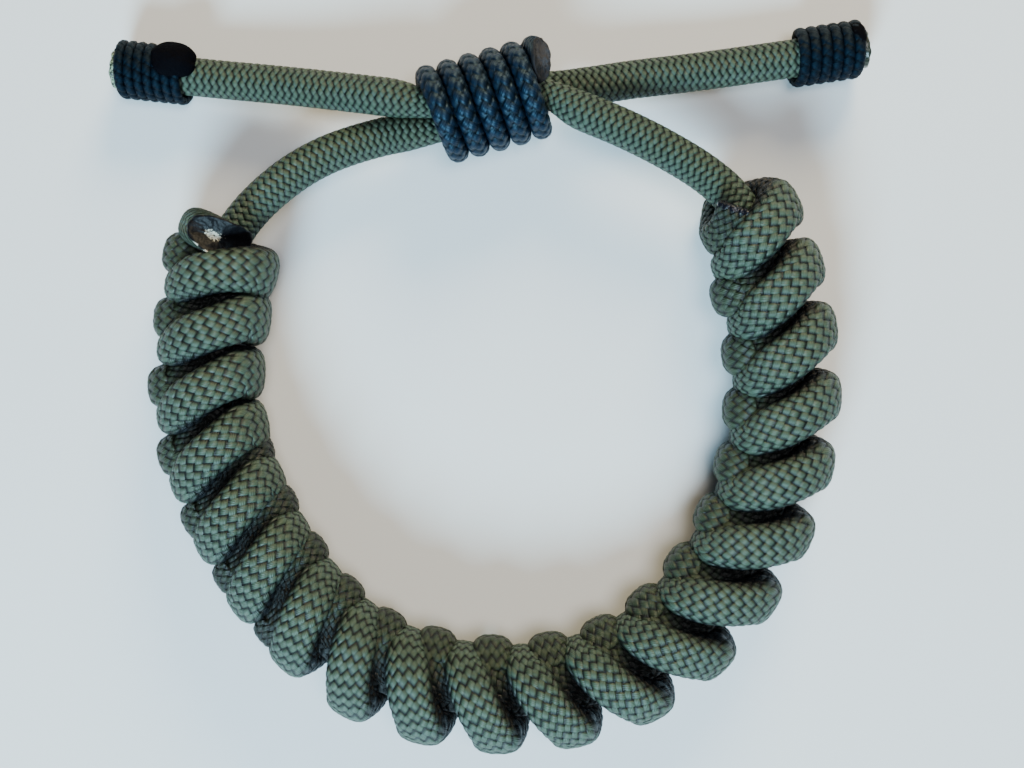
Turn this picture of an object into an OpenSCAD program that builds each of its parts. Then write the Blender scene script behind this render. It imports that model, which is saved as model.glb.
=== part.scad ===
// Adjustable cord bracelet: a core cord closed by a sliding knot, wound with a second cord.
// The bracelet lies flat. The origin is the middle of the wrist opening, on the surface below.

/* [Cords] */
// Diameter of the core cord where it lies free
cord_d = 4; // [3.4:0.1:4.4]
// Thickness of the wrap cord where it lies flat over the core cord
wrap_t = 3.6; // [3.2:0.1:4]
// Thickness of the wrap cord where it steps on to its next turn
wrap_step_t = 4; // [3.8:0.1:4.4]
// Width of the wrap cord where it lies flat over the core cord
wrap_w = 5.2; // [4.2:0.1:5.4]
// Width of the wrap cord where it steps on to its next turn
wrap_step_w = 3.5; // [3:0.1:3.6]
// Gap between cords that lie on each other
lay_gap = 0.2; // [0.15:0.05:0.4]

/* [Loop] */
// Distance between the middles of the winding's two long sides
loop_w = 60.5; // [56:0.5:80]
// Distance from the middle of the sliding knot to the middle of the winding opposite
loop_l = 63; // [60:0.5:80]
// Least distance from one turn of the winding to the next
wrap_pitch = 6.65; // [6.6:0.05:8]

/* [Sliding knot] */
// Diameter of the knot cord
knot_cord_d = 2.2; // [1.8:0.1:2.2]
// Distance from one turn of the knot to the next
knot_pitch = 2.3; // [2.25:0.05:2.6]
// Number of turns in the knot
knot_turns = 5.5; // [3.5:1:6.5]
// Diameter of the core cord where the knot squeezes it
squeezed_d = 2.9; // [2.7:0.1:3.1]
// Direction of the knot's axis
knot_turned = 15.5; // [10:0.5:20]

/* [Tail tips] */
// Diameter of the thin cord wound round the tips
tip_cord_d = 0.9; // [0.7:0.05:1]
// Length of the left tip's winding
left_tip_l = 7.8; // [5:0.1:9]
// Length of the right tip's winding
right_tip_l = 7.2; // [5:0.1:9]
// Distance from one turn to the next on the left tip
left_tip_pitch = 1.04; // [1.02:0.01:1.4]
// Distance from one turn to the next on the right tip
right_tip_pitch = 1.2; // [1.1:0.01:1.4]

/* [Hidden] */

cord_colour = "#5c6b45";
black_colour = "#23262b";

// Heights of the cord axes over the surface
crease_lift = 0.15;
tail_z = cord_d / 2 + lay_gap + tip_cord_d;
winding_z = cord_d / 2 + lay_gap + wrap_t + crease_lift;
// where the steps lie underneath
ridge_z = cord_d / 2 + lay_gap + max(wrap_step_t, wrap_t + crease_lift);
knot_across = 1.035 * squeezed_d + lay_gap / 2 + knot_cord_d / 2;
knot_up = knot_across + 0.25;
knot_z = knot_up + knot_cord_d / 2;
upper_z = knot_z + 0.52 * squeezed_d;
lower_z = knot_z - 0.52 * squeezed_d;

knot_l = knot_turns * knot_pitch;
knot_centre = [-0.015 * loop_w, 0.5 * loop_l, knot_z];

// General functions

function mix(a, b, t) = a + (b - a) * t;

function ramp(x, low, high) = min(1, max(0, (x - low) / (high - low)));

function unit(v) = v / norm(v);

function column(table, j) = [for (row = table) [row[0], row[j]]];

// Point of the loop from shares of its width and length
function on_loop(across, along, z) = [across * loop_w, along * loop_l, z];

// Point inside the knot from a share of the knot's length and shares of the squeezed cord
function in_knot(u, v, w) = knot_centre + [
    u * knot_l * cos(knot_turned) - v * squeezed_d * sin(knot_turned),
    u * knot_l * sin(knot_turned) + v * squeezed_d * cos(knot_turned),
    w * squeezed_d,
];

// Route of the core cord: left tail, over through the knot, round the wrist, under through
// the knot, right tail
ROUTE = [
    on_loop(-0.675, 0.565, tail_z),
    on_loop(-0.530, 0.550, tail_z),
    on_loop(-0.350, 0.530, mix(tail_z, knot_z, 0.4)),
    on_loop(-0.190, 0.505, mix(knot_z, upper_z, 0.45)),
    in_knot(-0.44, 0.36, 0.40),
    in_knot(0, 0.035, 0.535),
    in_knot(0.43, -0.29, 0.45),
    on_loop(0.145, 0.480, mix(knot_z, upper_z, 0.97)),
    on_loop(0.220, 0.450, mix(winding_z, upper_z, 0.9)),
    on_loop(0.295, 0.415, mix(winding_z, upper_z, 0.6)),
    on_loop(0.365, 0.375, mix(winding_z, upper_z, 0.15)),
    on_loop(0.415, 0.330, winding_z),
    on_loop(0.455, 0.255, winding_z),
    on_loop(0.485, 0.160, winding_z),
    on_loop(0.500, 0.050, winding_z),
    on_loop(0.495, -0.060, winding_z),
    on_loop(0.470, -0.165, winding_z),
    on_loop(0.415, -0.275, winding_z),
    on_loop(0.340, -0.370, winding_z),
    on_loop(0.240, -0.445, winding_z),
    on_loop(0.125, -0.485, winding_z),
    on_loop(0.005, -0.495, winding_z),
    on_loop(-0.115, -0.480, winding_z),
    on_loop(-0.225, -0.440, ridge_z),
    on_loop(-0.315, -0.370, ridge_z),
    on_loop(-0.390, -0.280, ridge_z),
    on_loop(-0.445, -0.185, ridge_z),
    on_loop(-0.485, -0.085, winding_z),
    on_loop(-0.500, 0.025, winding_z),
    on_loop(-0.490, 0.135, winding_z),
    on_loop(-0.475, 0.230, winding_z),
    on_loop(-0.445, 0.295, winding_z),
    on_loop(-0.380, 0.360, mix(knot_z, winding_z, 0.6)),
    on_loop(-0.300, 0.410, mix(knot_z, lower_z, 0.2)),
    on_loop(-0.200, 0.445, mix(knot_z, lower_z, 0.85)),
    in_knot(-0.44, -0.36, -0.42),
    in_knot(0, -0.035, -0.535),
    in_knot(0.43, 0.155, -0.507),
    on_loop(0.145, 0.530, lower_z),
    on_loop(0.245, 0.545, mix(lower_z, tail_z, 0.5)),
    on_loop(0.360, 0.560, tail_z),
    on_loop(0.510, 0.580, tail_z),
    on_loop(0.650, 0.600, tail_z),
];
LAST = len(ROUTE) - 1;
WOUND_FROM = 12;
WOUND_TO = 31;

// Smooth curve through the route, x counts its points

function route_point(i) =
    i < 0 ? 2 * ROUTE[0] - ROUTE[1]
    : i > LAST ? 2 * ROUTE[LAST] - ROUTE[LAST - 1]
    : ROUTE[i];

function through(a, b, c, d, u) =
    0.5 * (2 * b + (c - a) * u + (2 * a - 5 * b + 4 * c - d) * u * u
        + (3 * b - a - 3 * c + d) * u * u * u);

function curve(x) =
    let (i = min(floor(x), LAST - 1))
    through(route_point(i - 1), route_point(i), route_point(i + 1), route_point(i + 2), x - i);

// The same curve by distance along the cord

FINE = 8;
DENSE = [for (i = [0:1:LAST * FINE]) curve(i / FINE)];
DISTANCE = [
    for (i = 0, s = 0; i < len(DENSE); s = s + (i + 1 < len(DENSE) ? norm(DENSE[i + 1] - DENSE[i]) : 0),
        i = i + 1) s
];
BY_X = [for (i = [0:1:len(DENSE) - 1]) [DISTANCE[i], DENSE[i].x]];
BY_Y = [for (i = [0:1:len(DENSE) - 1]) [DISTANCE[i], DENSE[i].y]];
BY_Z = [for (i = [0:1:len(DENSE) - 1]) [DISTANCE[i], DENSE[i].z]];
CORD_L = DISTANCE[len(DISTANCE) - 1];

function at(s) = [lookup(s, BY_X), lookup(s, BY_Y), lookup(s, BY_Z)];

function level_heading(s) =
    let (d = at(s + 0.4) - at(s - 0.4))
    unit([d.x, d.y, 0]);

// Left of the heading, level with the surface
function outward(s) =
    let (t = level_heading(s))
    [-t.y, t.x, 0];

// Rings and tubes

// Ring of a cord with half width a along side and half height b along up
function ring(c, side, up, a, b, n) = [
    for (k = [0:1:n - 1])
        let (t = 360 * k / n)
        c + a * cos(t) * side + b * sin(t) * up
];

function round_ring(c, heading, r, n) =
    let (side = unit(cross([0, 0, 1], heading)))
    ring(c, side, cross(heading, side), r, r, n);

function turned_ring(c, heading, out, r, n) =
    let (side = unit(cross(out, heading)))
    ring(c, side, cross(heading, side), r, r, n);

module tube(rings) {
    n = len(rings[0]);
    m = len(rings);
    points = [for (r = rings) each r];
    first = [for (k = [1:1:n - 2]) [0, k, k + 1]];
    final = [for (k = [1:1:n - 2]) [(m - 1) * n, (m - 1) * n + k + 1, (m - 1) * n + k]];
    sides = [
        for (i = [0:1:m - 2], k = [0:1:n - 1])
            let (a = i * n + k, b = i * n + (k + 1) % n)
            each [[a, a + n, b + n], [a, b + n, b]]
    ];
    polyhedron(points = points, faces = concat(first, sides, final));
}

// Core cord

function knot_distance(p) =
    let (d = p - knot_centre)
    norm([d.x, d.y]) - knot_l / 2;

function core_d(p) = mix(squeezed_d, cord_d, ramp(knot_distance(p), 0.3, 3.2));

CORE_AT = [
    for (i = [0:1:LAST - 1])
        each (i < 3 || i > LAST - 5 ? [i] : [i, i + 0.5]),
    LAST
];

module core_cord()
    color(cord_colour)
    tube([
        for (x = CORE_AT)
            let (heading = unit(curve(min(LAST, x + 0.1)) - curve(max(0, x - 0.1))))
            round_ring(curve(x), heading, core_d(curve(x)) / 2, 10)
    ]);

// Winding: angle 0 is the outer side of the loop, 90 the top, 180 the inner side

wrap_r = cord_d / 2 + lay_gap + wrap_t / 2;
wound_from = DISTANCE[WOUND_FROM * FINE] - 1.4;
wound_to = DISTANCE[WOUND_TO * FINE] + 0.5;
turns = floor((wound_to - wound_from) / wrap_pitch);
pitch = (wound_to - wound_from) / turns;

// Share of the winding, angle of the step, share of the pitch stepped there, share gained
// over the top and again underneath, drift in turns
WINDING = [
    [0.00, 172, 0.60, 0.74, 0.00],
    [0.20, 174, 0.60, 0.74, -0.06],
    [0.40, 178, 0.58, 0.74, 0.02],
    [0.50, 188, 0.54, 0.74, 0.12],
    [0.60, 210, 0.48, 0.72, 0.20],
    [0.65, 228, 0.44, 0.68, 0.22],
    [0.80, 316, 0.44, 0.66, 0.21],
    [0.90, 360, 0.54, 0.60, 0.08],
    [0.95, 370, 0.56, 0.56, 0.00],
    [1.00, 366, 0.50, 0.35, -0.32],
    [1.05, 366, 0.50, 0.35, -0.40],
];
STEP_ANGLE = column(WINDING, 1);
STEP_SHARE = column(WINDING, 2);
TOP_SHARE = column(WINDING, 3);
DRIFT = column(WINDING, 4);

// Turned past the step, against how far the cord lifts and how wide it is, as shares
BESIDE_STEP = [
    // angle, lift, share of the way from the step's width to the full width
    [0, 0, 0],
    [15, 0, 0.05],
    [45, 1, 0.7],
    [75, 0, 1],
    [120, 0, 1],
    [180, 0, 0.85],
];

wrap_start = -200;
wrap_end = turns * 360 + 122;
wrap_sides = 10;
ring_angle = 26;

// Turns gained by an angle, with the step at its own angle on each turn
function gained(x) =
    let (
        k = floor((x - 90) / 360),
        a = x - 360 * k,
        share = x / 360 / turns,
        step = lookup(share, STEP_SHARE),
        top = lookup(share, TOP_SHARE),
        step_at = lookup(share, STEP_ANGLE)
    )
    k + step * ramp(a, step_at - 14, step_at + 14)
        + top * (ramp(a, 15, 165) - 0.5 + ramp(a, 375, 525))
        + (1 - step - top) * (a - 90) / 360;

function smooth_gained(x) =
    (gained(x - 16) + gained(x - 8) + gained(x) + gained(x + 8) + gained(x + 16)) / 5;

function wound_at(x) =
    let (g = smooth_gained(x))
    wound_from + pitch * (g + lookup(g / turns, DRIFT));

// How far an angle is from the step of its own turn
function from_step(x) =
    let (a = x - lookup(x / 360 / turns, STEP_ANGLE) + 180)
    abs(a - 360 * floor(a / 360) - 180);

function wrap_out(x) = cos(x) * outward(wound_at(x)) + [0, 0, sin(x)];

function flatness(x) = lookup(from_step(x), column(BESIDE_STEP, 2));

// Half thickness and half width of the wrap cord, rounder near its free end and melted at both
function wrap_half_t(x) =
    mix(mix(wrap_step_t, wrap_t, flatness(x)), wrap_t, near_end(x)) / 2;

function wrap_half_w(x) =
    mix(mix(wrap_step_w, wrap_w, flatness(x)), wrap_t, near_end(x)) / 2;

function near_end(x) = ramp(x - wrap_end, -240, -130);

function wrap_centre(x) =
    let (lift = crease_lift * lookup(from_step(x), column(BESIDE_STEP, 1)) * (1 - near_end(x)))
    at(wound_at(x)) + (cord_d / 2 + lay_gap + wrap_half_t(x) + lift) * wrap_out(x);

// The last stretch is cut slanting, so the end shows as a long oval
cut_l = 6;
cut_slant = 53;

function wrap_ring(x, before, centre, after) =
    let (
        out = wrap_out(x),
        heading = unit(after - before),
        side = unit(cross(out, heading)),
        up = cross(heading, side),
        melted = mix(0.9, 1, ramp(x - wrap_start, 0, 25)),
        a = melted * wrap_half_w(x),
        b = melted * wrap_half_t(x),
        left = max(0, (wrap_end - x) * PI / 180 * wrap_r),
        slant = tan(cut_slant) * ramp(cut_l - left, 0, cut_l),
        c = centre - heading * slant * b
    )
    [
        for (k = [0:1:wrap_sides - 1])
            let (
                t = 360 * k / wrap_sides,
                p = a * sign(cos(t)) * pow(abs(cos(t)), 0.85),
                q = b / 0.958 * sign(sin(t)) * pow(abs(sin(t)), 0.85)
            )
            c + p * side + q * up - heading * slant * q
    ];

module wrap_cord() {
    n = ceil((wrap_end - wrap_start) / ring_angle);
    step = (wrap_end - wrap_start) / n;
    centres = [for (i = [-1:1:n + 1]) wrap_centre(wrap_start + i * step)];
    color(cord_colour)
    tube([
        for (i = [0:1:n])
            wrap_ring(wrap_start + i * step, centres[i], centres[i + 1], centres[i + 2])
    ]);
}

// Sliding knot: angle 0 is the side away from the wrist opening, 90 the top

knot_start = -100;
knot_end = knot_start + 360 * knot_turns;

function knot_line(x) =
    let (
        u = knot_pitch * (x - (knot_start + knot_end) / 2) / 360,
        v = knot_across * cos(x),
        w = knot_up * sin(x)
    )
    knot_centre + [
        u * cos(knot_turned) - v * sin(knot_turned),
        u * sin(knot_turned) + v * cos(knot_turned),
        w,
    ];

// The knot cord's end is cut nearly along the cord and faces the right tail: on that side
// the cord stops short by knot_cut_l
knot_cut_l = 3.6;
knot_along = [cos(knot_turned), sin(knot_turned), 0];

function knot_heading(x) = unit(knot_line(x + 10) - knot_line(x - 10));

function knot_side(x) =
    let (heading = knot_heading(x))
    unit(knot_along - (knot_along * heading) * heading);

function knot_point(x, t) =
    let (
        left = (knot_end - x) * PI / 180 * knot_across,
        short = knot_cut_l * ramp(knot_cut_l + 1 - left, 0, knot_cut_l + 1) * (1 + cos(t)) / 2,
        y = x - short / knot_across * 180 / PI,
        side = knot_side(y)
    )
    knot_line(y) + knot_cord_d / 2 * (cos(t) * side + sin(t) * cross(knot_heading(y), side));

module sliding_knot() {
    n = ceil((knot_end - knot_start) / 30);
    step = (knot_end - knot_start) / n;
    color(black_colour)
    tube([
        for (i = [0:1:n])
            [for (k = [0:1:7]) knot_point(knot_start + i * step, 45 * k)]
    ]);
}

// Tip whippings: thin cord wound round the core cord close to each end

tip_r = cord_d / 2 + lay_gap + tip_cord_d / 2;

module whipping(from, way, length, tip_pitch, first) {
    n = ceil(length / tip_pitch * 9);
    heading_at = function (s) unit(at(s + 0.4) - at(s - 0.4));
    place = function (i)
        let (
            s = from + way * length * i / n,
            t = heading_at(s),
            side = unit(cross([0, 0, 1], t)),
            up = cross(t, side),
            x = first + 360 * length / tip_pitch * i / n
        )
        at(s) + tip_r * (cos(x) * side + sin(x) * up);
    color(black_colour)
    tube([
        for (i = [0:1:n])
            let (heading = unit(place(i + 0.5) - place(i - 0.5)))
            turned_ring(place(i), heading, place(i) - at(from + way * length * i / n),
                tip_cord_d / 2, 6)
    ]);
}

tip_inset = 0.5;

module left_tip_whipping()
    whipping(tip_inset, 1, left_tip_l, left_tip_pitch, 250);

module right_tip_whipping()
    whipping(CORD_L - tip_inset, -1, right_tip_l, right_tip_pitch, 250);

core_cord();
wrap_cord();
sliding_knot();
left_tip_whipping();
right_tip_whipping();
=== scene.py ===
"""Looks of the paracord bracelet: braided cords, sliding knot, whipped tips and melted cord ends.

The cords follow the same route and the same knot as the part's solids. Sizes are in
millimetres, as in its source, and become metres where a mesh is made.
"""

import math

import bpy
import numpy as np
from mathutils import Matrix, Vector


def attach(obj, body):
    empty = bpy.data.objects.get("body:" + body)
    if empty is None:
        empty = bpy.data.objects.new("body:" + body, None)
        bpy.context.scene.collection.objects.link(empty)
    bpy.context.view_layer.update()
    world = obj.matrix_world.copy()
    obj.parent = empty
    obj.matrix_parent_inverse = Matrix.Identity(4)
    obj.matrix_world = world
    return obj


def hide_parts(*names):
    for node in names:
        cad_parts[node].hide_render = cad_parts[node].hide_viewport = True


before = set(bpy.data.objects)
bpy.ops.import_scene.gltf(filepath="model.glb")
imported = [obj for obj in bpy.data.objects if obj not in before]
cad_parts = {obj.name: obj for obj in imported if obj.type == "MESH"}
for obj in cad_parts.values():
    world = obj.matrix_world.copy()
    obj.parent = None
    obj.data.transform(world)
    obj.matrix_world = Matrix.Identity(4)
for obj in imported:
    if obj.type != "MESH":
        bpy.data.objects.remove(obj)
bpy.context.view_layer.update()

MM = 0.001

# Camera: straight above, at the height that gives the photo's perspective

CAMERA_AT = (1.6, 1.7, 136.1)
CAMERA_LENS = 43.5


def make_camera():
    data = bpy.data.cameras.new("camera")
    data.lens = CAMERA_LENS
    data.sensor_width = 36
    data.clip_start = 0.005
    obj = bpy.data.objects.new("camera", data)
    obj.location = [v * MM for v in CAMERA_AT]
    bpy.context.scene.collection.objects.link(obj)
    bpy.context.scene.camera = obj


make_camera()

# Sizes in millimetres, as in the part's source

CORD_D = 4.0
WRAP_T = 3.6
LAY_GAP = 0.2
LOOP_W = 60.5
LOOP_L = 63.0
WRAP_PITCH = 6.65
KNOT_CORD_D = 2.2
KNOT_PITCH = 2.3
KNOT_TURNS = 5.5
SQUEEZED_D = 2.9
KNOT_TURNED = 15.5
TIP_CORD_D = 0.9
CREASE_LIFT = 0.15
RIDGE_LIFT = 4.0

# Heights and places that follow from them

TAIL_Z = CORD_D / 2 + LAY_GAP + TIP_CORD_D
WINDING_Z = CORD_D / 2 + LAY_GAP + WRAP_T + CREASE_LIFT
RIDGE_Z = CORD_D / 2 + LAY_GAP + RIDGE_LIFT
KNOT_ACROSS = 1.035 * SQUEEZED_D + LAY_GAP / 2 + KNOT_CORD_D / 2
KNOT_UP = KNOT_ACROSS + 0.25
KNOT_Z = KNOT_UP + KNOT_CORD_D / 2
UPPER_Z = KNOT_Z + 0.52 * SQUEEZED_D
LOWER_Z = KNOT_Z - 0.52 * SQUEEZED_D
KNOT_L = KNOT_TURNS * KNOT_PITCH
KNOT_CENTRE = np.array([-0.015 * LOOP_W, 0.5 * LOOP_L, KNOT_Z])
TURN_C = math.cos(math.radians(KNOT_TURNED))
TURN_S = math.sin(math.radians(KNOT_TURNED))
KNOT_ALONG = np.array([TURN_C, TURN_S, 0.0])


def mix(a, b, t):
    """The value that lies at share t of the way from a to b."""
    return a + (b - a) * t


def ramp(x, low, high):
    """0 below low, 1 above high and even in between."""
    return np.clip((x - low) / (high - low), 0.0, 1.0)


def unit(v):
    """Vectors brought to length one."""
    return v / np.linalg.norm(v, axis=-1, keepdims=True)


def on_loop(across, along, z):
    """A point of the route in shares of the loop's width and length."""
    return [across * LOOP_W, along * LOOP_L, z]


def in_knot(u, v, w):
    """A point inside the knot: along it in shares of its length, across and up in cord widths."""
    return [
        KNOT_CENTRE[0] + u * KNOT_L * TURN_C - v * SQUEEZED_D * TURN_S,
        KNOT_CENTRE[1] + u * KNOT_L * TURN_S + v * SQUEEZED_D * TURN_C,
        KNOT_CENTRE[2] + w * SQUEEZED_D,
    ]


# The core cord's route: left tail, through the knot, round the wrist, back through it, right tail

ROUTE = np.array(
    [
        on_loop(-0.675, 0.565, TAIL_Z),
        on_loop(-0.530, 0.550, TAIL_Z),
        on_loop(-0.350, 0.530, mix(TAIL_Z, KNOT_Z, 0.4)),
        on_loop(-0.190, 0.505, mix(KNOT_Z, UPPER_Z, 0.45)),
        in_knot(-0.44, 0.36, 0.40),
        in_knot(0, 0.035, 0.535),
        in_knot(0.43, -0.29, 0.45),
        on_loop(0.145, 0.480, mix(KNOT_Z, UPPER_Z, 0.97)),
        on_loop(0.220, 0.450, mix(WINDING_Z, UPPER_Z, 0.9)),
        on_loop(0.295, 0.415, mix(WINDING_Z, UPPER_Z, 0.6)),
        on_loop(0.365, 0.375, mix(WINDING_Z, UPPER_Z, 0.15)),
        on_loop(0.415, 0.330, WINDING_Z),
        on_loop(0.455, 0.255, WINDING_Z),
        on_loop(0.485, 0.160, WINDING_Z),
        on_loop(0.500, 0.050, WINDING_Z),
        on_loop(0.495, -0.060, WINDING_Z),
        on_loop(0.470, -0.165, WINDING_Z),
        on_loop(0.415, -0.275, WINDING_Z),
        on_loop(0.340, -0.370, WINDING_Z),
        on_loop(0.240, -0.445, WINDING_Z),
        on_loop(0.125, -0.485, WINDING_Z),
        on_loop(0.005, -0.495, WINDING_Z),
        on_loop(-0.115, -0.480, WINDING_Z),
        on_loop(-0.225, -0.440, RIDGE_Z),
        on_loop(-0.315, -0.370, RIDGE_Z),
        on_loop(-0.390, -0.280, RIDGE_Z),
        on_loop(-0.445, -0.185, RIDGE_Z),
        on_loop(-0.485, -0.085, WINDING_Z),
        on_loop(-0.500, 0.025, WINDING_Z),
        on_loop(-0.490, 0.135, WINDING_Z),
        on_loop(-0.475, 0.230, WINDING_Z),
        on_loop(-0.445, 0.295, WINDING_Z),
        on_loop(-0.380, 0.360, mix(KNOT_Z, WINDING_Z, 0.6)),
        on_loop(-0.300, 0.410, mix(KNOT_Z, LOWER_Z, 0.2)),
        on_loop(-0.200, 0.445, mix(KNOT_Z, LOWER_Z, 0.85)),
        in_knot(-0.44, -0.36, -0.42),
        in_knot(0, -0.035, -0.535),
        in_knot(0.43, 0.155, -0.507),
        on_loop(0.145, 0.530, LOWER_Z),
        on_loop(0.245, 0.545, mix(LOWER_Z, TAIL_Z, 0.5)),
        on_loop(0.360, 0.560, TAIL_Z),
        on_loop(0.510, 0.580, TAIL_Z),
        on_loop(0.650, 0.600, TAIL_Z),
    ]
)
FIRST_WOUND = 12
LAST_WOUND = 31
FINE = 32


def smooth_curve(points, n):
    """A curve through the points, with n places for each stretch between two of them."""
    p = np.vstack([2 * points[0] - points[1], points, 2 * points[-1] - points[-2]])
    u = np.linspace(0, 1, n, endpoint=False)[:, None]
    out = []
    for a, b, c, d in zip(p, p[1:], p[2:], p[3:]):
        out.append(
            0.5
            * (
                2 * b
                + (c - a) * u
                + (2 * a - 5 * b + 4 * c - d) * u**2
                + (3 * b - a - 3 * c + d) * u**3
            )
        )
    return np.vstack([*out, points[-1:]])


def running_length(line):
    """Distance of each place of a line from its start."""
    return np.concatenate([[0], np.cumsum(np.linalg.norm(np.diff(line, axis=0), axis=1))])


DENSE = smooth_curve(ROUTE, FINE)
DISTANCE = running_length(DENSE)
CORE_L = DISTANCE[-1]
UP = np.array([0.0, 0.0, 1.0])

# A line's direction at a place is taken between the places this far before and behind it
NEAR = 0.4
CLOSE = 0.05


def resample(values, at, wanted):
    """Vectors known at some distances, read off at others."""
    return np.stack([np.interp(wanted, at, values[:, k]) for k in range(values.shape[1])], axis=-1)


def core_at(s):
    """Points of the core cord's centre line at the distances s."""
    return resample(DENSE, DISTANCE, s)


def outward(s):
    """Level direction away from the wrist, square to the core cord."""
    t = core_at(s + NEAR) - core_at(s - NEAR)
    t[:, 2] = 0
    t = unit(t)
    return np.stack([-t[:, 1], t[:, 0], np.zeros(len(t))], axis=1)


# Winding: it begins just before its first place on the route and ends just after its last

WOUND_FROM = DISTANCE[FIRST_WOUND * FINE] - 1.4
WOUND_TO = DISTANCE[LAST_WOUND * FINE] + 0.5
TURNS = math.floor((WOUND_TO - WOUND_FROM) / WRAP_PITCH)
PITCH = (WOUND_TO - WOUND_FROM) / TURNS

# Share of the winding, size of the outer tucks and of the inner tucks, share of the pitch gained
# over the top, width over the top, drift in turns. The rows follow the turns of the photo
WINDING = np.array(
    [
        [-0.03, 0.00, 1.00, 0.46, 4.8, -0.08],
        [0.00, 0.00, 1.00, 0.42, 4.8, 0.04],
        [0.03, 0.00, 1.00, 0.56, 4.8, 0.02],
        [0.06, 0.00, 1.00, 0.74, 4.8, -0.01],
        [0.10, 0.00, 1.00, 0.74, 4.8, -0.03],
        [0.20, 0.00, 1.00, 0.72, 4.7, -0.06],
        [0.35, 0.00, 1.00, 0.68, 4.5, 0.04],
        [0.45, 0.00, 0.95, 0.62, 4.5, 0.17],
        [0.55, 0.00, 0.80, 0.56, 4.6, 0.28],
        [0.65, 0.15, 0.65, 0.54, 4.6, 0.30],
        [0.72, 0.35, 0.50, 0.54, 4.6, 0.28],
        [0.78, 0.60, 0.25, 0.60, 4.5, 0.24],
        [0.84, 0.85, 0.00, 0.66, 4.5, 0.20],
        [0.90, 1.00, 0.00, 0.66, 4.5, 0.12],
        [0.95, 1.00, 0.00, 0.56, 4.4, 0.04],
        [0.99, 1.00, 0.00, 0.40, 4.5, -0.20],
        [1.02, 1.00, 0.00, 0.36, 4.3, -0.88],
    ]
)
OUTER, INNER, OVER_TOP, BAND_W, DRIFT = 1, 2, 3, 4, 5

# Angles round the core are in degrees: 0 on the outer side, 90 on top, 180 on the inner side
TOP_FROM = 38.0
TOP_TO = 142.0
WRAP_START = -252.0
WRAP_END = TURNS * 360 + 164.0
TURNING_W = 5.5
TUCKED_W = 3.1
TUCKED_T = 3.2
START_W = WRAP_T + 0.1
START_T = 2.8
END_W = WRAP_T + 0.2

# Angles over which a turn takes on its width and thickness of the side, and those over which
# it loses them again. Then those over which the strand widens after its start and narrows
# before its end
SIDE_BEGINS = (110, 178)
SIDE_ENDS = (215, 262)
WIDENS = (60, 150)
NARROWS = (-150, -60)

# A tuck is the part of a turn that comes out from beneath the band before it. Angle, distance of
# its face from the core's centre line, width, part of a pitch ahead
TUCK = np.array(
    [
        [85, 2.8, 1.4, 0.42],
        [105, 3.0, 2.4, 0.46],
        [125, 3.9, 3.6, 0.50],
        [150, 5.2, 4.4, 0.54],
        [172, 6.3, 4.5, 0.57],
        [195, 6.5, 4.4, 0.50],
        [230, 5.8, 4.0, 0.24],
        [258, 5.4, 3.6, 0.02],
    ]
)
FACE, TUCK_W, AHEAD = 1, 2, 3
TUCK_UNDER = CORD_D / 2 + 0.3
TUCK_LEAST_T = 0.4
SMALL_TUCK_SINK = 1.2
SMALL_TUCK_W = 0.7
# Angles over which a tuck's painted shade lifts as it comes out from beneath the band
TUCK_LIGHTS_UP = (112, 148)


def winding_value(x, column):
    """A column of the winding's table at the angles x, counted on from turn to turn."""
    return np.interp(x / 360 / TURNS, WINDING[:, 0], WINDING[:, column])


def gained(x):
    """Turns moved along the core at the angles x: part over the top, the rest beneath."""
    k = np.floor((x + 90) / 360)
    a = x - 360 * k
    top = winding_value(x, OVER_TOP)
    over = ramp(a, TOP_FROM, TOP_TO)
    under = (np.clip((a + 90) / 90, 0, 1) + np.clip((a - 180) / 90, 0, 1)) / 2
    return k + top * (over - 0.5) + (1 - top) * (under - 0.5)


def soften(values, width):
    """Running mean along a finely sampled line, with its ends kept."""
    kernel = np.hanning(2 * width + 3)[1:-1]
    kernel /= kernel.sum()
    first = 2 * values[:1] - values[width:0:-1]
    last = 2 * values[-1:] - values[-2 : -width - 2 : -1]
    padded = np.concatenate([first, values, last])
    return np.convolve(padded, kernel, mode="valid")


def tuck_value(a, column):
    """A column of the tuck's table at the angles a."""
    return soften(np.interp(a, TUCK[:, 0], TUCK[:, column]), 8)


def laid(x, g, radius):
    """Points round the core: angle, turns along it and distance from its centre line."""
    s = WOUND_FROM + PITCH * (g + np.interp(g / TURNS, WINDING[:, 0], WINDING[:, DRIFT]))
    r = np.radians(x)
    out = np.cos(r)[:, None] * outward(s) + np.sin(r)[:, None] * UP
    return core_at(s) + radius[:, None] * out, out


def wrap_strand():
    """Centre line, outward direction, half width and half thickness of the wrap cord."""
    x = np.arange(WRAP_START, WRAP_END + 0.5, 1.0)
    lead = np.interp(x + 360, TUCK[:, 0], TUCK[:, AHEAD]) * (x < TUCK[-1, 0] - 360)
    g = soften(gained(x) + lead, 9)
    a = x - 360 * np.floor((x + 90) / 360)
    half_w = winding_value(x, BAND_W) / 2
    half_t = np.full_like(half_w, WRAP_T / 2)
    for angle, column in ((a, INNER), (180 - a, OUTER)):
        near = ramp(angle, *SIDE_BEGINS) * (1 - ramp(angle, *SIDE_ENDS))
        size = winding_value(x, column)
        half_w = mix(half_w, mix(TURNING_W, TUCKED_W, size) / 2, near)
        half_t = mix(half_t, mix(WRAP_T, TUCKED_T, size) / 2, near)
    begun = ramp(x - WRAP_START, *WIDENS)
    half_w = mix(START_W / 2, half_w, begun)
    half_t = mix(START_T / 2, half_t, begun)
    half_w = mix(half_w, END_W / 2, ramp(x - WRAP_END, *NARROWS))
    line, out = laid(x, g, CORD_D / 2 + LAY_GAP + half_t)
    return line, out, half_w, half_t


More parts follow.
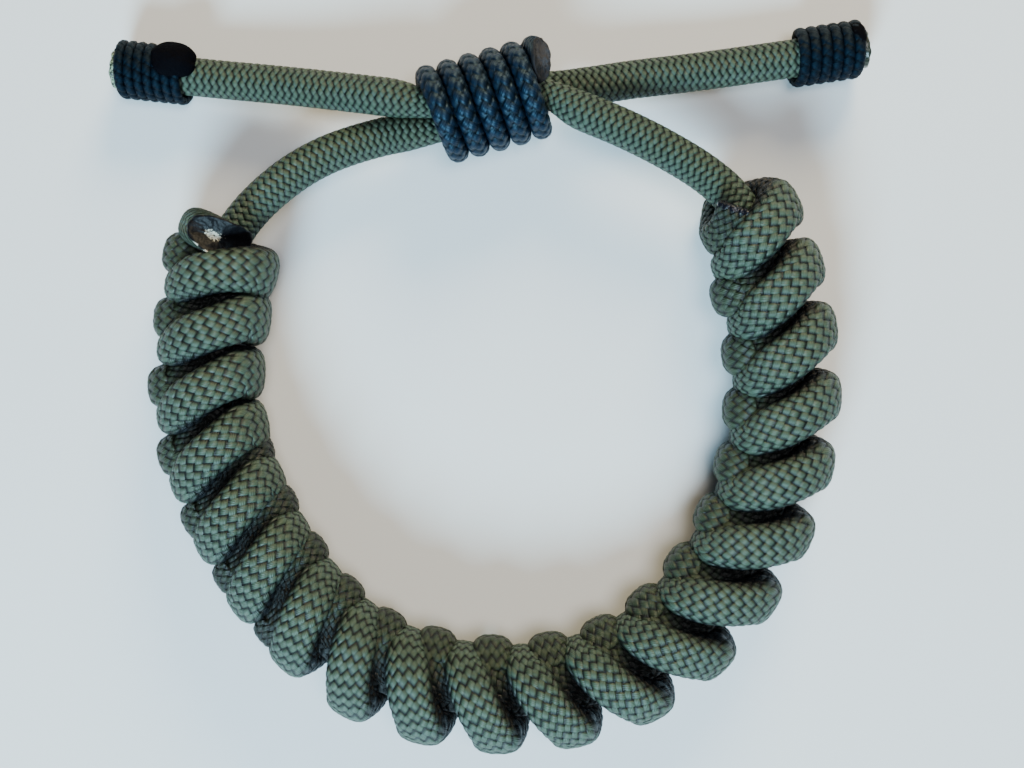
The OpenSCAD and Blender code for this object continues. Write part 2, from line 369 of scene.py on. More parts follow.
def tuck_strand(k, mirrored, size):
    """The same four for the tuck of turn k, on the inner side or, mirrored, on the outer one,
    and how far each place has come out into the light."""
    a = np.arange(TUCK[0, 0], TUCK[-1, 0] + 0.5, 1.0)
    face, width, ahead = (tuck_value(a, c) for c in (FACE, TUCK_W, AHEAD))
    face = np.maximum(face - SMALL_TUCK_SINK * (1 - size), TUCK_UNDER + TUCK_LEAST_T)
    width = width * mix(SMALL_TUCK_W, 1, size)
    x = 360 * k + (180 - a if mirrored else a)
    way = -1 if mirrored else 1
    half_t = (face - TUCK_UNDER) / 2
    line, out = laid(x, gained(x) + way * ahead, TUCK_UNDER + half_t)
    # Painted shade: the tuck stays dark beneath the band before it, and small tucks stay darker
    lit = ramp(a, *TUCK_LIGHTS_UP) * ramp(size, 0.05, 0.95)
    return line, out, width / 2, half_t, lit


# Braid: yarns in two families, leaning left and right, each over one and under one

YARN_HALF_W = 0.51
MEAN_RISE = 0.70
FLOAT_RISE = 0.26
FLOAT_LEAN = 0.15
MEAN_HEIGHT = 0.8
CUT_TAPER = 1.8


def yarn(across, along, m):
    """Height of a yarn off its own line, on top where along is even and beneath where odd."""
    lean = FLOAT_LEAN * m.cos(math.pi * (along - 0.5))
    rise = MEAN_RISE + FLOAT_RISE * m.cos(math.pi * along) + lean
    return m.sqrt(m.maximum(1 - (across / YARN_HALF_W) ** 4, 0)) * rise


def weave(x, y, m):
    """Height, place across the yarn on top and that yarn's two numbers.

    x counts columns round the cord and y counts stitches along it. m does the sums, on
    arrays for the mesh and on nodes for the material.
    """
    a = x / 2 + y
    b = x / 2 - y
    i = m.floor(a + 0.5)
    j = m.floor(b + 0.5)
    left = yarn(a - i, b - i, m)
    right = yarn(b - j, a - j - 1, m)
    over = m.greater(left, right)
    across = over * (a - i) + (1 - over) * (b - j)
    return m.maximum(left, right), across, over * (i - j) + j, m.floor((x + over) / 2 + 0.5)


class Arrays:
    """The sums of the weave on arrays."""

    floor = staticmethod(np.floor)
    cos = staticmethod(np.cos)
    sqrt = staticmethod(np.sqrt)
    maximum = staticmethod(np.maximum)

    @staticmethod
    def greater(a, b):
        return (a > b).astype(float)


class Field:
    """A number worked out by a material's nodes."""

    def __init__(self, tree, socket):
        self.tree = tree
        self.socket = socket

    def sum(self, operation, *inputs):
        node = self.tree.nodes.new("ShaderNodeMath")
        node.operation = operation
        for k, v in enumerate(inputs):
            if isinstance(v, Field):
                self.tree.links.new(v.socket, node.inputs[k])
            else:
                node.inputs[k].default_value = v
        return Field(self.tree, node.outputs[0])

    def __add__(self, other):
        return self.sum("ADD", self, other)

    def __radd__(self, other):
        return self.sum("ADD", other, self)

    def __sub__(self, other):
        return self.sum("SUBTRACT", self, other)

    def __rsub__(self, other):
        return self.sum("SUBTRACT", other, self)

    def __mul__(self, other):
        return self.sum("MULTIPLY", self, other)

    def __rmul__(self, other):
        return self.sum("MULTIPLY", other, self)

    def __truediv__(self, other):
        return self.sum("DIVIDE", self, other)

    def __pow__(self, other):
        return self.sum("POWER", self.sum("ABSOLUTE", self), other)


class Sums:
    """The same sums on a material's nodes."""

    @staticmethod
    def floor(a):
        return a.sum("FLOOR", a)

    @staticmethod
    def cos(a):
        return a.sum("COSINE", a)

    @staticmethod
    def sqrt(a):
        return a.sum("SQRT", a)

    @staticmethod
    def maximum(a, b):
        return a.sum("MAXIMUM", a, b)

    @staticmethod
    def greater(a, b):
        return a.sum("GREATER_THAN", a, b)


# Meshes


def mesh_object(name, points, faces, material):
    """A smoothly shaded object from points in metres."""
    mesh = bpy.data.meshes.new(name)
    mesh.from_pydata(points.tolist(), [], faces)
    mesh.polygons.foreach_set("use_smooth", [True] * len(mesh.polygons))
    mesh.materials.append(material)
    obj = bpy.data.objects.new(name, mesh)
    bpy.context.scene.collection.objects.link(obj)
    return obj


def float_attribute(mesh, name, values):
    """A value at each point of a mesh, for its material."""
    layer = mesh.attributes.new(name, "FLOAT", "POINT")
    layer.data.foreach_set("value", np.ascontiguousarray(values, dtype=np.float32).ravel())


def ring_faces(m, n):
    """Row and place of each face between m rings of n points, and the faces as lists."""
    i, j = np.meshgrid(np.arange(m - 1), np.arange(n), indexing="ij")
    k = (j + 1) % n
    quads = np.stack([i * n + j, i * n + k, (i + 1) * n + k, (i + 1) * n + j], axis=-1)
    return i, j, quads.reshape(-1, 4).tolist()


def tube(name, rings, columns, along, material, values, closed_u):
    """A closed tube from rings of points in millimetres, with a UV map in columns and stitches."""
    m, n = rings.shape[:2]
    ends = rings[0].mean(0)[None], rings[-1].mean(0)[None]
    points = np.concatenate([rings.reshape(-1, 3), *ends]) * MM
    i, j, faces = ring_faces(m, n)
    first, last = m * n, m * n + 1
    for q in range(n):
        faces.append([(q + 1) % n, q, first])
        faces.append([(m - 1) * n + q, (m - 1) * n + (q + 1) % n, last])
    obj = mesh_object(name, points, faces, material)
    mesh = obj.data
    u = np.append(columns, closed_u)
    uv = np.stack(
        [
            np.stack([u[j], along[i]], -1),
            np.stack([u[j + 1], along[i]], -1),
            np.stack([u[j + 1], along[i + 1]], -1),
            np.stack([u[j], along[i + 1]], -1),
        ],
        axis=2,
    ).reshape(-1, 2)
    caps = np.zeros((6 * n, 2))
    for q in range(n):
        caps[6 * q : 6 * q + 3] = [[u[q + 1], along[0]], [u[q], along[0]], [u[q], along[0]]]
        caps[6 * q + 3 : 6 * q + 6] = [[u[q], along[-1]], [u[q + 1], along[-1]], [u[q], along[-1]]]
    layer = mesh.uv_layers.new(name="braid")
    layer.data.foreach_set("uv", np.concatenate([uv, caps]).astype(np.float32).ravel())
    for key, v in values.items():
        float_attribute(mesh, key, np.concatenate([v.ravel(), [v[0].mean(), v[-1].mean()]]))
    return obj


def oval(a, b, t, power):
    """Points of a rounded flat section and their outward directions, in (side, up)."""
    c, s = np.cos(t), np.sin(t)
    p = a * np.sign(c) * np.abs(c) ** power
    q = b * np.sign(s) * np.abs(s) ** power
    nc = np.sign(c) * np.abs(c) ** (2 - power) / a
    ns = np.sign(s) * np.abs(s) ** (2 - power) / b
    k = np.sqrt(nc**2 + ns**2)
    return p, q, nc / k, ns / k


def even_angles(columns, count, a, b, power):
    """Section angles at which the columns are evenly wide, counted from the under side."""
    t = np.linspace(0, 2 * np.pi, 2000) - math.pi / 2
    p, q, _, _ = oval(a, b, t, power)
    length = np.concatenate([[0], np.cumsum(np.hypot(np.diff(p), np.diff(q)))])
    return np.interp(np.asarray(columns) / count * length[-1], length, t)


def braided(name, line, up_hint, half_w, half_t, spec, material):
    """A braided cord along a finely sampled line: the object and its rings.

    spec holds count (columns round), stitch (length along), depth, power, columns (sampled
    positions) and s (distances of the rings). It may hold cut (length of an oblique end) and
    lit (1 where the cord lies in the light), which follows the line as half_w and half_t do.
    """
    s_line = running_length(line)
    s = spec["s"]
    cols = spec["columns"]
    a, b = (np.interp(s, s_line, v) for v in (half_w, half_t))
    t = even_angles(cols, spec["count"], a.mean(), b.mean(), spec["power"])
    place = np.repeat(s[:, None], len(cols), 1)
    if "cut" in spec:
        near = np.clip(1 - (s[-1] - s) / (CUT_TAPER * spec["cut"]), 0, 1)
        place -= spec["cut"] * near[:, None] * (1 + np.sin(t)) / 2
    c = resample(line, s_line, place)
    ahead, behind = (resample(line, s_line, place + d) for d in (CLOSE, -CLOSE))
    heading = unit(ahead - behind)
    hint = resample(up_hint, s_line, place)
    side = unit(np.cross(hint, heading))
    up = np.cross(heading, side)
    a, b = (np.interp(place, s_line, v) for v in (half_w, half_t))
    p, q, nx, ny = oval(a, b, t[None, :], spec["power"])
    y = s / spec["stitch"]
    height = weave(*np.broadcast_arrays(cols[None, :], y[:, None]), Arrays)[0]
    d = spec["depth"] * (height - MEAN_HEIGHT)
    rings = c + (p + d * nx)[..., None] * side + (q + d * ny)[..., None] * up
    values = {}
    if "lit" in spec:
        values["lit"] = np.repeat(np.interp(s, s_line, spec["lit"])[:, None], len(cols), 1)
    return tube(name, rings, cols, y, material, values, spec["count"]), rings


# A melted end's profile from the rim inwards: share of the way out, height. The face inside
# the rim is level but for its bulge
MELTED_RIM = [(1.00, -0.35), (1.05, -0.05), (1.03, 0.14), (0.95, 0.22), (0.86, 0.12)]
MELTED_FACE = (0.74, 0.60, 0.46, 0.32, 0.18, 0.06)
FACE_HEIGHT = 0.12
RIM_POINTS = 96
TO_THE_RIGHT = np.array([1.0, 0.3, 0.1])


def beyond(end, inside):
    """Direction out of a cord at its end ring, from a ring further inside."""
    return end.mean(0) - inside.mean(0)


def melted_face(name, node, ring, toward, bulge, material, spots):
    """A cut end melted over: a rounded rim round a rough face, with ash where spots say.

    spots are angle in degrees, distance from the middle (0 to 1), radius and strength.
    """
    n = RIM_POINTS
    around = np.linspace(0, len(ring), n, endpoint=False)
    at_ring = np.arange(len(ring) + 1)
    edge = np.stack([np.interp(around, at_ring, np.append(v, v[0])) for v in ring.T], -1)
    middle = edge.mean(0)
    spread = np.linalg.svd(edge - middle)[2]
    normal = spread[2] * np.sign(spread[2] @ toward)
    first = spread[0] * np.sign(spread[0] @ TO_THE_RIGHT)
    second = np.cross(normal, first)
    angle = 2 * np.pi * np.arange(n) / n
    profile = MELTED_RIM + [(f, FACE_HEIGHT + FACE_HEIGHT * (1 - f) * bulge) for f in MELTED_FACE]
    points, ash = [], []
    size = np.abs((edge - middle) @ first).max()
    short = np.abs((edge - middle) @ second).max()
    for f, h in profile:
        rough = 0.05 * np.sin(5 * angle + 9 * f) + 0.04 * np.sin(11 * angle - 7 * f)
        row = middle + f * (edge - middle) + (h + rough * min(1, 2 * f))[:, None] * normal
        points.append(row)
        u, v = (row - middle) @ first / size, (row - middle) @ second / short
        value = np.zeros(n)
        for at, far, radius, strength in spots:
            r = math.radians(at)
            away = np.hypot(u - far * math.cos(r), v - far * math.sin(r))
            value = np.maximum(value, strength * (1 - ramp(away, 0.45 * radius, radius)))
        ash.append(value)
    points.append(middle[None] + (FACE_HEIGHT + FACE_HEIGHT * bulge) * normal)
    ash.append([ash[-1].mean()])
    count = len(profile)
    faces = ring_faces(count, n)[2]
    faces += [[(count - 1) * n + q, (count - 1) * n + (q + 1) % n, count * n] for q in range(n)]
    a, b, c = points[0][0], points[0][1], points[1][1]
    if np.cross(b - a, c - b) @ (a - middle) < 0:
        faces = [list(reversed(f)) for f in faces]
    obj = mesh_object(name, np.concatenate(points) * MM, faces, material)
    float_attribute(obj.data, "ash", np.concatenate(ash))
    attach(obj, "root")
    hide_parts(node)


# Materials

FILAMENTS = 5
BRAID_SPECULAR = 0.28
# Painted shade: the tint of cord parts out of the light and the tint of flanks that face the next
# turn
UNLIT_TINT = (0.03, 0.035, 0.05)
FLANK_SHADE_TINT = (0.03, 0.04, 0.09)


def grey(v):
    return (v, v, v)


def nodes_of(name):
    """A new material, its node tree and its shader."""
    material = bpy.data.materials.new(name)
    material.use_nodes = True
    tree = material.node_tree
    return material, tree, tree.nodes["Principled BSDF"]


def link(tree, a, b):
    tree.links.new(a, b)


def attribute(tree, name):
    node = tree.nodes.new("ShaderNodeAttribute")
    node.attribute_name = name
    return node.outputs["Fac"]


def colour_ramp(tree, source, stops):
    """A number turned into a colour by stops of place and colour."""
    node = tree.nodes.new("ShaderNodeValToRGB")
    elements = node.color_ramp.elements
    while len(elements) < len(stops):
        elements.new(0.5)
    for e, (at, colour) in zip(elements, stops):
        e.position = at
        e.color = (*colour, 1)
    link(tree, source, node.inputs["Fac"])
    return node.outputs["Color"]


def noise(tree, scale, detail=2.0):
    where = tree.nodes.new("ShaderNodeTexCoord")
    node = tree.nodes.new("ShaderNodeTexNoise")
    node.inputs["Scale"].default_value = scale
    node.inputs["Detail"].default_value = detail
    link(tree, where.outputs["Object"], node.inputs["Vector"])
    return node.outputs["Fac"]


def mix_colour(tree, fac, a, b, mode="MIX"):
    """Two colours mixed, each a tuple or a node's output."""
    node = tree.nodes.new("ShaderNodeMix")
    node.data_type = "RGBA"
    node.blend_type = mode
    for socket, v in ((node.inputs[0], fac), (node.inputs[6], a), (node.inputs[7], b)):
        if isinstance(v, (int, float)):
            socket.default_value = v
        elif isinstance(v, tuple):
            socket.default_value = (*v, 1)
        else:
            link(tree, v, socket)
    return node.outputs[2]


def tinted(tree, colour, tint):
    """A colour multiplied by a tint."""
    return mix_colour(tree, 1.0, colour, tint, "MULTIPLY")


def braid_material(name, stops, tints, roughness, relief, sides, shown=None, glint=(1, 1, 1, 1)):
    """Braid seen from close by: each yarn's rounded float, its filaments and its own shade.

    stops are the colours from the gaps between the yarns up to their tops: painted shade in the
    gaps, the yarn's own colour on top. sides holds the column at the middle of the seen face and
    the distances from it at which painted shade begins and is full: the flanks that face the next
    turn. shown is the tint of the cord where its attribute lit is 1; where lit is 0 the cord is
    painted dark, as painted shade.
    """
    material, tree, shader = nodes_of(name)
    uv = tree.nodes.new("ShaderNodeUVMap")
    uv.uv_map = "braid"
    parts = tree.nodes.new("ShaderNodeSeparateXYZ")
    link(tree, uv.outputs["UV"], parts.inputs[0])
    x, y = (Field(tree, parts.outputs[k]) for k in (0, 1))
    height, across, first, second = weave(x, y, Sums)
    filaments = across.sum("SINE", across * (FILAMENTS * 2 * math.pi))
    numbers = tree.nodes.new("ShaderNodeCombineXYZ")
    link(tree, first.socket, numbers.inputs[0])
    link(tree, second.socket, numbers.inputs[1])
    shade = tree.nodes.new("ShaderNodeTexWhiteNoise")
    shade.noise_dimensions = "2D"
    link(tree, numbers.outputs[0], shade.inputs["Vector"])
    patch = mix_colour(tree, noise(tree, 260.0, 3.0), *tints)
    own = colour_ramp(tree, shade.outputs["Value"], [(0.0, grey(0.78)), (1.0, grey(1.0))])
    wave = (filaments * 0.5 + 0.5).socket
    thread = colour_ramp(tree, wave, [(0.0, grey(0.86)), (1.0, grey(1.0))])
    colour = colour_ramp(tree, height.socket, stops)
    for tint in (patch, own, thread):
        colour = tinted(tree, colour, tint)
    # Painted shade where the attribute lit is low
    if shown:
        light = colour_ramp(tree, attribute(tree, "lit"), [(0.0, UNLIT_TINT), (1.0, shown)])
        colour = tinted(tree, colour, light)
    # Painted shade on the flanks that face the next turn
    if sides:
        middle, lit, dark = sides
        away = (x - middle).sum("ABSOLUTE", x - middle)
        flank = ((away - lit) / (dark - lit)).socket
        shadow = colour_ramp(tree, flank, [(0.0, grey(1.0)), (1.0, FLANK_SHADE_TINT)])
        colour = tinted(tree, colour, shadow)
    link(tree, colour, shader.inputs["Base Color"])
    shader.inputs["Roughness"].default_value = roughness
    shader.inputs["Specular IOR Level"].default_value = BRAID_SPECULAR
    shader.inputs["Specular Tint"].default_value = glint
    bump = tree.nodes.new("ShaderNodeBump")
    bump.inputs["Strength"].default_value = 1.0
    bump.inputs["Distance"].default_value = relief
    link(tree, (height + filaments * 0.04).socket, bump.inputs["Height"])
    link(tree, bump.outputs["Normal"], shader.inputs["Normal"])
    return material


# Colours from the gaps between the yarns up to their tops: painted shade in the gaps, the cord's
# own colour on top
OLIVE_STOPS = [
    (0.42, (0.000, 0.001, 0.002)),
    (0.62, (0.007, 0.012, 0.010)),
    (0.88, (0.055, 0.083, 0.062)),
]

# Stops, tints, roughness and relief in metres
OLIVE_LOOK = (OLIVE_STOPS, ((1.0, 0.93, 0.72), (0.84, 1.0, 1.06)), 0.5, 0.00035)
# Painted shade: this tint darkens the tucks and the wrap's beginning, and the three numbers after
# the look darken each band's, tuck's and beginning's flanks
PAINTED_SHADE_TINT = (0.58, 0.56, 0.44)
OLIVE = braid_material("olive_braid", *OLIVE_LOOK, None, grey(1.0))
BAND = braid_material("olive_band", *OLIVE_LOOK, (12.0, 3.2, 5.4))
TUCKED = braid_material("olive_tuck", *OLIVE_LOOK, (12.0, 3.6, 6.2), PAINTED_SHADE_TINT)
BEGINNING = braid_material("olive_start", *OLIVE_LOOK, (12.0, 8.0, 11.0), PAINTED_SHADE_TINT)

# The same for the black cords: painted shade in the gaps between the yarns, their own colour on top
BLACK_STOPS = [
    (0.40, (0.000, 0.001, 0.002)),
    (0.66, (0.001, 0.003, 0.007)),
    (0.95, (0.003, 0.009, 0.021)),
]
THIN_BLACK_STOPS = [
    (0.40, (0.000, 0.000, 0.001)),
    (0.66, (0.000, 0.001, 0.003)),
    (0.95, (0.001, 0.004, 0.009)),
]
BLACK_TINTS = ((1.0, 0.94, 0.90), (0.70, 0.90, 1.0))
BLACK_LOOK = (BLACK_STOPS, BLACK_TINTS, 0.45, 0.00022)
THIN_BLACK_LOOK = (THIN_BLACK_STOPS, BLACK_TINTS, 0.6, 0.00022)
BLACK = braid_material("black_braid", *BLACK_LOOK, None, glint=(0.45, 0.75, 1.0, 1))
THIN_BLACK = braid_material("thin_black_braid", *THIN_BLACK_LOOK, None, glint=(0.18, 0.32, 0.45, 1))


def melted_material(name, burnt, ash, glint=0.4, smooth=0.22):
    """Cord melted by a flame: glossy where burnt, dull and pale where ash lies on it."""
    material, tree, shader = nodes_of(name)
    speck = Field(tree, noise(tree, 5200.0, 5.0))
    amount = (Field(tree, attribute(tree, "ash")) + speck * 1.5 - 0.95) * 3.0
    colour = colour_ramp(tree, amount.socket, [(0.0, burnt), (0.45, burnt), (1.0, ash)])
    link(tree, colour, shader.inputs["Base Color"])
    dull = colour_ramp(tree, amount.socket, [(0.0, grey(smooth)), (1.0, grey(0.75))])
    link(tree, dull, shader.inputs["Roughness"])
    shader.inputs["Specular IOR Level"].default_value = glint
    bump = tree.nodes.new("ShaderNodeBump")
    bump.inputs["Distance"].default_value = 0.00025
    link(tree, noise(tree, 1300.0, 4.0), bump.inputs["Height"])
    link(tree, bump.outputs["Normal"], shader.inputs["Normal"])
    return material


ASH = (0.42, 0.40, 0.33)
BURNT = melted_material("melted_black", (0.003, 0.003, 0.004), ASH, 0.12, 0.45)
BURNT_GLOSSY = melted_material("melted_glossy", (0.003, 0.003, 0.006), ASH)
BURNT_GREY = melted_material("melted_grey", (0.012, 0.013, 0.016), (0.030, 0.031, 0.036), 0.1, 0.6)
SINGED = melted_material("singed_black", (0.001, 0.001, 0.002), (0.003, 0.005, 0.009), 0.03, 0.85)
BURNT_GREEN = melted_material("melted_green", (0.010, 0.014, 0.008), (0.20, 0.26, 0.17))

# Core cord. A melted end's look is its bulge, its material and its spots of ash

CORE_SPEC = {
    "count": 20,
    "stitch": 0.81,
    "depth": 0.20,
    "power": 1.0,
    "columns": np.arange(0, 20, 0.25),
}
CORE_PER_STITCH = 5
LEFT_END = (0.2, BURNT_GREEN, [(0, 0.0, 1.4, 0.9)])
RIGHT_END = (0.2, BURNT_GREEN, [(90, 0.5, 0.45, 0.9), (270, 0.8, 0.4, 0.6)])
HIDDEN = (DISTANCE[FIRST_WOUND * FINE] + 4.5, DISTANCE[LAST_WOUND * FINE] - 5.5)


def core_stations():
    """Rings close together where the cord shows and wide apart inside the winding."""
    coarse = CORE_SPEC["stitch"]
    fine = coarse / CORE_PER_STITCH
    s, out = 0.0, [0.0]
    while s < CORE_L:
        s += coarse if HIDDEN[0] < s < HIDDEN[1] else fine
        out.append(min(s, CORE_L))
    return np.array(out)


def core_cord():
    """The core cord: squeezed thinner in the knot and painted dark inside the winding, as painted
    shade.
    """
    from_knot = np.hypot(*(DENSE - KNOT_CENTRE)[:, :2].T) - KNOT_L / 2
    d = soften(mix(SQUEEZED_D, CORD_D, ramp(from_knot, 0.3, 3.2)), 12)
    first, last = WOUND_FROM + 1, WOUND_TO - 1
    # Painted shade where the winding covers the core
    lit = 1 - ramp(DISTANCE, first, first + 3) * (1 - ramp(DISTANCE, last - 3, last))
    spec = dict(CORE_SPEC, s=core_stations(), lit=lit)
    up = np.tile(UP, (len(DENSE), 1))
    obj, rings = braided("core_cord_braid", DENSE, up, d / 2, d / 2, spec, OLIVE)
    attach(obj, "root")
    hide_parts("core_cord")
    [v * MM for v in rings[0].mean(0)]
    rings.mean(1) * MM
    left = beyond(rings[0], rings[9])
    right = beyond(rings[-1], rings[-9])
    melted_face("core_cord_melted_left_end", "core_cord", rings[0], left, *LEFT_END)
    melted_face("core_cord_melted_right_end", "core_cord", rings[-1], right, *RIGHT_END)


core_cord()

# Wrap cord, in stretches so that the stitches can be fine

WRAP_SPEC = {
    "count": 24,
    "stitch": 1.0,
    "depth": 0.20,
    "power": 0.76,
    "columns": np.concatenate([np.arange(4), np.arange(4, 20, 0.25), np.arange(20, 24)]),
}
WRAP_PER_STITCH = 6
TUCK_PER_STITCH = 4
WRAP_PIECES = 4
BEGINNING_TURNED = 160
# Painted shade on the wrap's beginning: its lit value rises from the first number to the second
BEGINNING_LIT = (0.35, 0.85)
LEAST_TUCK = 0.2
WRAP_START_END = (1, BURNT_GLOSSY, [(90, 1.0, 0.2, 0.3)])
END_CUT = 7.6
END_ASH = [
    (190, 0.12, 0.34, 0.60),
    (180, 1.0, 0.18, 0.8),
    (240, 1.0, 0.16, 0.7),
    (262, 1.0, 0.16, 0.7),
    (284, 1.0, 0.16, 0.7),
]
WRAP_FAR_END = (-0.3, BURNT, END_ASH)


def wrap_piece(name, strand, stations, material, **more):
    """A piece of the wrap cord from the rings at the stations of a strand."""
    spec = dict(WRAP_SPEC, s=stations, **more)
    obj, rings = braided(name, *strand, spec, material)
    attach(obj, "root")
    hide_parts("wrap_cord")
    return rings


def wrap_stretches():
    """The winding from its melted beginning to its oblique cut end."""
    strand = wrap_strand()
    s = running_length(strand[0])
    n = round(s[-1] / WRAP_SPEC["stitch"] * WRAP_PER_STITCH)
    stations = np.linspace(0, s[-1], n)
    degrees = np.arange(len(s))
    begun = round(np.interp(BEGINNING_TURNED, degrees, s) / s[-1] * (n - 1))
    # The beginning lies partly in the shadow of the turn beside it: painted shade that lifts over
    # its first 40 degrees
    lit = mix(*BEGINNING_LIT, ramp(degrees, 0, 40))
    rings = wrap_piece("wrap_cord_beginning", strand, stations[: begun + 1], BEGINNING, lit=lit)
    back = beyond(rings[0], rings[3])
    melted_face("wrap_cord_melted_start", "wrap_cord", rings[0], back, *WRAP_START_END)
    cuts = np.linspace(begun, n - 1, WRAP_PIECES + 1).astype(int)
    for k in range(WRAP_PIECES):
        piece = stations[cuts[k] : cuts[k + 1] + 1]
        more = {"cut": END_CUT} if k == WRAP_PIECES - 1 else {}
        rings = wrap_piece(f"wrap_cord_stretch_{k + 1}", strand, piece, BAND, **more)
    melted_face("wrap_cord_melted_end", "wrap_cord", rings[-1], UP, *WRAP_FAR_END)


def wrap_tucks():
    """The tucks of each turn, on the sides where the winding's table says they show."""
    for k in range(TURNS + 1):
        for mirrored, column, name in ((False, INNER, "inner"), (True, OUTER, "outer")):
            size = winding_value(360.0 * k, column)
            if size < LEAST_TUCK or (k == 0 and mirrored) or (k == TURNS and not mirrored):
                continue
            *tuck, lit = tuck_strand(k, mirrored, size)
            length = running_length(tuck[0])[-1]
            stations = np.linspace(0, length, round(length / WRAP_SPEC["stitch"] * TUCK_PER_STITCH))
            wrap_piece(f"wrap_cord_{name}_tuck_{k + 1}", tuck, stations, TUCKED, lit=lit)


wrap_stretches()
wrap_tucks()

# Sliding knot

KNOT_START = -100.0
KNOT_END = KNOT_START + 360 * KNOT_TURNS + 14
KNOT_COLUMNS = 10
KNOT_STITCH = 1.2
KNOT_PER_STITCH = 7
KNOT_DEPTH = 0.2
KNOT_CUT_L = 4.2
KNOT_CUT_TURNED = math.radians(50)
KNOT_FAR_END = (0.5, BURNT_GREY, [(0, 0.3, 0.9, 0.8)])


def knot_line(x):
    """Points of the knot cord's centre line at the angles x, in degrees."""
    u = KNOT_PITCH * (x - KNOT_START - 180 * KNOT_TURNS) / 360
    r = np.radians(x)
    v, w = KNOT_ACROSS * np.cos(r), KNOT_UP * np.sin(r)
    return KNOT_CENTRE + np.stack([u * TURN_C - v * TURN_S, u * TURN_S + v * TURN_C, w], axis=-1)


def knot_cord():
    """The coil, whose rings turn oblique towards its cut end."""
    x = np.arange(KNOT_START, KNOT_END + 0.5, 1.0)
    s_line = running_length(knot_line(x))
    s = np.linspace(0, s_line[-1], round(s_line[-1] / KNOT_STITCH * KNOT_PER_STITCH))
    cols = np.arange(0, KNOT_COLUMNS, 1 / 4)
    t = 2 * np.pi * cols / KNOT_COLUMNS
    left = s_line[-1] - s
    near = ramp(KNOT_CUT_L + 1 - left, 0, KNOT_CUT_L + 1)[:, None]
    short = KNOT_CUT_L * near * (1 + np.cos(t - KNOT_CUT_TURNED)) / 2
    y = np.interp(s, s_line, x)[:, None] - np.degrees(short / KNOT_ACROSS)
    heading = unit(knot_line(y + 1) - knot_line(y - 1))
    side = unit(KNOT_ALONG - (heading @ KNOT_ALONG)[..., None] * heading)
    up = np.cross(heading, side)
    height = weave(*np.broadcast_arrays(cols[None, :], s[:, None] / KNOT_STITCH), Arrays)[0]
    r = KNOT_CORD_D / 2 + KNOT_DEPTH * (height - MEAN_HEIGHT)
    p, q = r * np.cos(t), r * np.sin(t)
    rings = knot_line(y) + p[..., None] * side + q[..., None] * up
    obj = tube("knot_cord_braid", rings, cols, s / KNOT_STITCH, BLACK, {}, KNOT_COLUMNS)
    melted_face("knot_cord_melted_end", "sliding_knot", rings[-1], KNOT_ALONG, *KNOT_FAR_END)
    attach(obj, "root")
    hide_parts("sliding_knot")


knot_cord()

# Tip whippings: thin cord of three plies, wound side by side, with its end melted into a lump

TIP_R = CORD_D / 2 + LAY_GAP + TIP_CORD_D / 2
TIP_RINGS = 560
PLIES = 3
PLY_COLUMNS = 16
PLY_TWIST = 2.2
LUMP_SINK = 0.3
LUMP_ROWS = 40
LUMP_COLUMNS = 64


def tip_frame(s):
    """Directions along the core cord, across it and up from it at the distances s."""
    t = unit(core_at(s + NEAR) - core_at(s - NEAR))
    side = unit(np.cross(UP, t))
    return t, side, np.cross(t, side)


def whipping(name, node, start, way, length, pitch, first):
    """The cord wound from start, by way 1 forwards or -1 backwards, from the angle first."""
    f = np.linspace(0, 1, TIP_RINGS)
    s = start + way * length * f
    _, side, up = tip_frame(s)
    x = np.radians(first + 360 * length / pitch * f)
    out = np.cos(x)[:, None] * side + np.sin(x)[:, None] * up
    line = core_at(s) + TIP_R * out
    heading = unit(np.gradient(line, axis=0))
    a = unit(np.cross(out, heading))
    b = np.cross(heading, a)
    cols = np.arange(0, PLIES, PLIES / PLY_COLUMNS)
    turn = 2 * np.pi * cols / PLIES
    s_line = running_length(line)
    twist = 2 * np.pi * s_line / PLY_TWIST
    lobes = np.abs(np.cos(PLIES / 2 * (turn[None, :] + twist[:, None])))
    r = TIP_CORD_D / 2 * (0.84 + 0.20 * lobes)
    wide = 1.04 * pitch / TIP_CORD_D
    p, q = wide * r * np.cos(turn), r * np.sin(turn)
    rings = line[:, None] + p[..., None] * a[:, None] + q[..., None] * b[:, None]
    obj = tube(name, rings, cols, s_line, THIN_BLACK, {}, PLIES)
    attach(obj, "root")
    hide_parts(node)


def whipping_lump(name, node, s, turned, length, width, height):
    """A rounded lump at the distance s, turned up from the cord's side by an angle."""
    t, side, up = (v[0] for v in tip_frame(np.array([s])))
    r = math.radians(turned)
    out = math.cos(r) * side + math.sin(r) * up
    across = np.cross(t, out)
    centre = core_at(np.array([s]))[0] + (TIP_R - LUMP_SINK) * out
    v = np.linspace(0, math.pi, LUMP_ROWS)[:, None]
    u = (2 * math.pi * np.arange(LUMP_COLUMNS) / LUMP_COLUMNS)[None, :]
    swell = 1 + 0.04 * np.cos(3 * v + 2 * u) + 0.02 * np.sin(5 * u - 3 * v)
    swell = swell + 0.012 * np.cos(17 * u + 13 * v) * np.cos(19 * v - 9 * u)
    ring = np.maximum(np.sin(v), 0.02) ** 0.8
    p = length / 2 * np.cos(v) * swell
    q = width / 2 * ring * np.cos(u) * swell
    w = height / 2 * ring * np.sin(u) * swell
    rings = centre + p[..., None] * t + q[..., None] * across + w[..., None] * out
    cols, rows = np.arange(LUMP_COLUMNS) / 8, np.arange(LUMP_ROWS) / 6
    no_ash = {"ash": np.zeros((LUMP_ROWS, LUMP_COLUMNS))}
    obj = tube(name, rings[::-1], cols, rows, SINGED, no_ash, LUMP_COLUMNS / 8)
    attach(obj, "root")
    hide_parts(node)


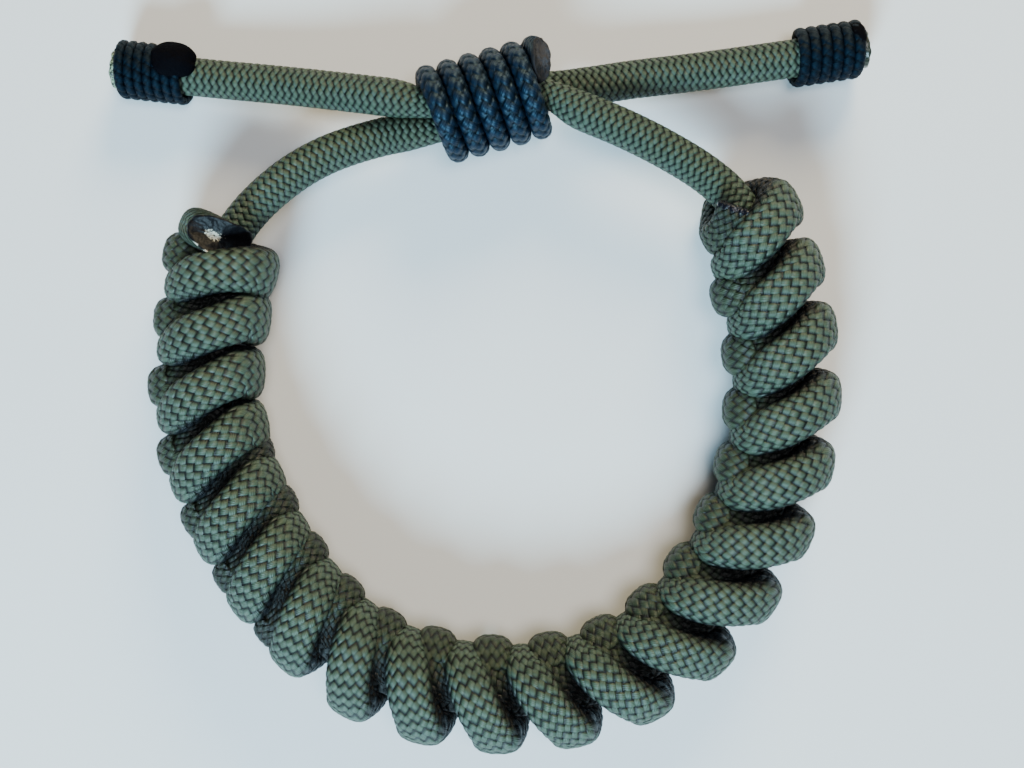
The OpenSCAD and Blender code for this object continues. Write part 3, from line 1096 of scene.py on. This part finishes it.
whipping(
    "left_tip_cord",
    "left_tip_whipping",
    start=0.35,
    way=1,
    length=7.2,
    pitch=1.0,
    first=250,
)
whipping_lump(
    "left_tip_lump",
    "left_tip_whipping",
    s=6.5,
    turned=62,
    length=4.6,
    width=4.2,
    height=3.2,
)
whipping_lump(
    "right_tip_lump",
    "right_tip_whipping",
    s=CORE_L - 0.9,
    turned=64,
    length=1.5,
    width=3.0,
    height=1.6,
)
whipping(
    "right_tip_cord",
    "right_tip_whipping",
    start=CORE_L - 0.4,
    way=-1,
    length=7.0,
    pitch=1.17,
    first=250,
)

# Floor and light, in metres

FLOOR_SIZE = 3.0


def floor():
    mesh = bpy.data.meshes.new("floor")
    a = FLOOR_SIZE
    mesh.from_pydata([(-a, -a, 0), (a, -a, 0), (a, a, 0), (-a, a, 0)], [], [(0, 1, 2, 3)])
    material, _, shader = nodes_of("floor")
    shader.inputs["Base Color"].default_value = (0.60, 0.61, 0.62, 1)
    shader.inputs["Roughness"].default_value = 0.9
    mesh.materials.append(material)
    obj = bpy.data.objects.new("floor", mesh)
    bpy.context.scene.collection.objects.link(obj)


def area_light(name, at, size, power, colour):
    """A round light that faces the bracelet."""
    data = bpy.data.lights.new(name, "AREA")
    data.shape = "DISK"
    data.size = size
    data.energy = power
    data.color = colour
    obj = bpy.data.objects.new(name, data)
    obj.location = at
    direction = Vector((0, 0, 0)) - Vector(at)
    obj.rotation_euler = direction.to_track_quat("-Z", "Y").to_euler()
    bpy.context.scene.collection.objects.link(obj)


def surroundings():
    world = bpy.data.worlds.new("studio")
    world.use_nodes = True
    background = world.node_tree.nodes["Background"]
    background.inputs["Color"].default_value = (0.80, 0.88, 1.0, 1)
    background.inputs["Strength"].default_value = 0.10
    bpy.context.scene.world = world


floor()
area_light("sky", (-0.12, -0.40, 0.30), 0.20, 9.0, (0.52, 0.82, 1.0))
area_light("warm", (0.12, 0.42, 0.22), 0.20, 3.6, (1.0, 0.84, 0.54))
area_light("above", (0.10, 0.0, 0.60), 0.25, 2.5, (1.0, 1.0, 1.0))
surroundings()
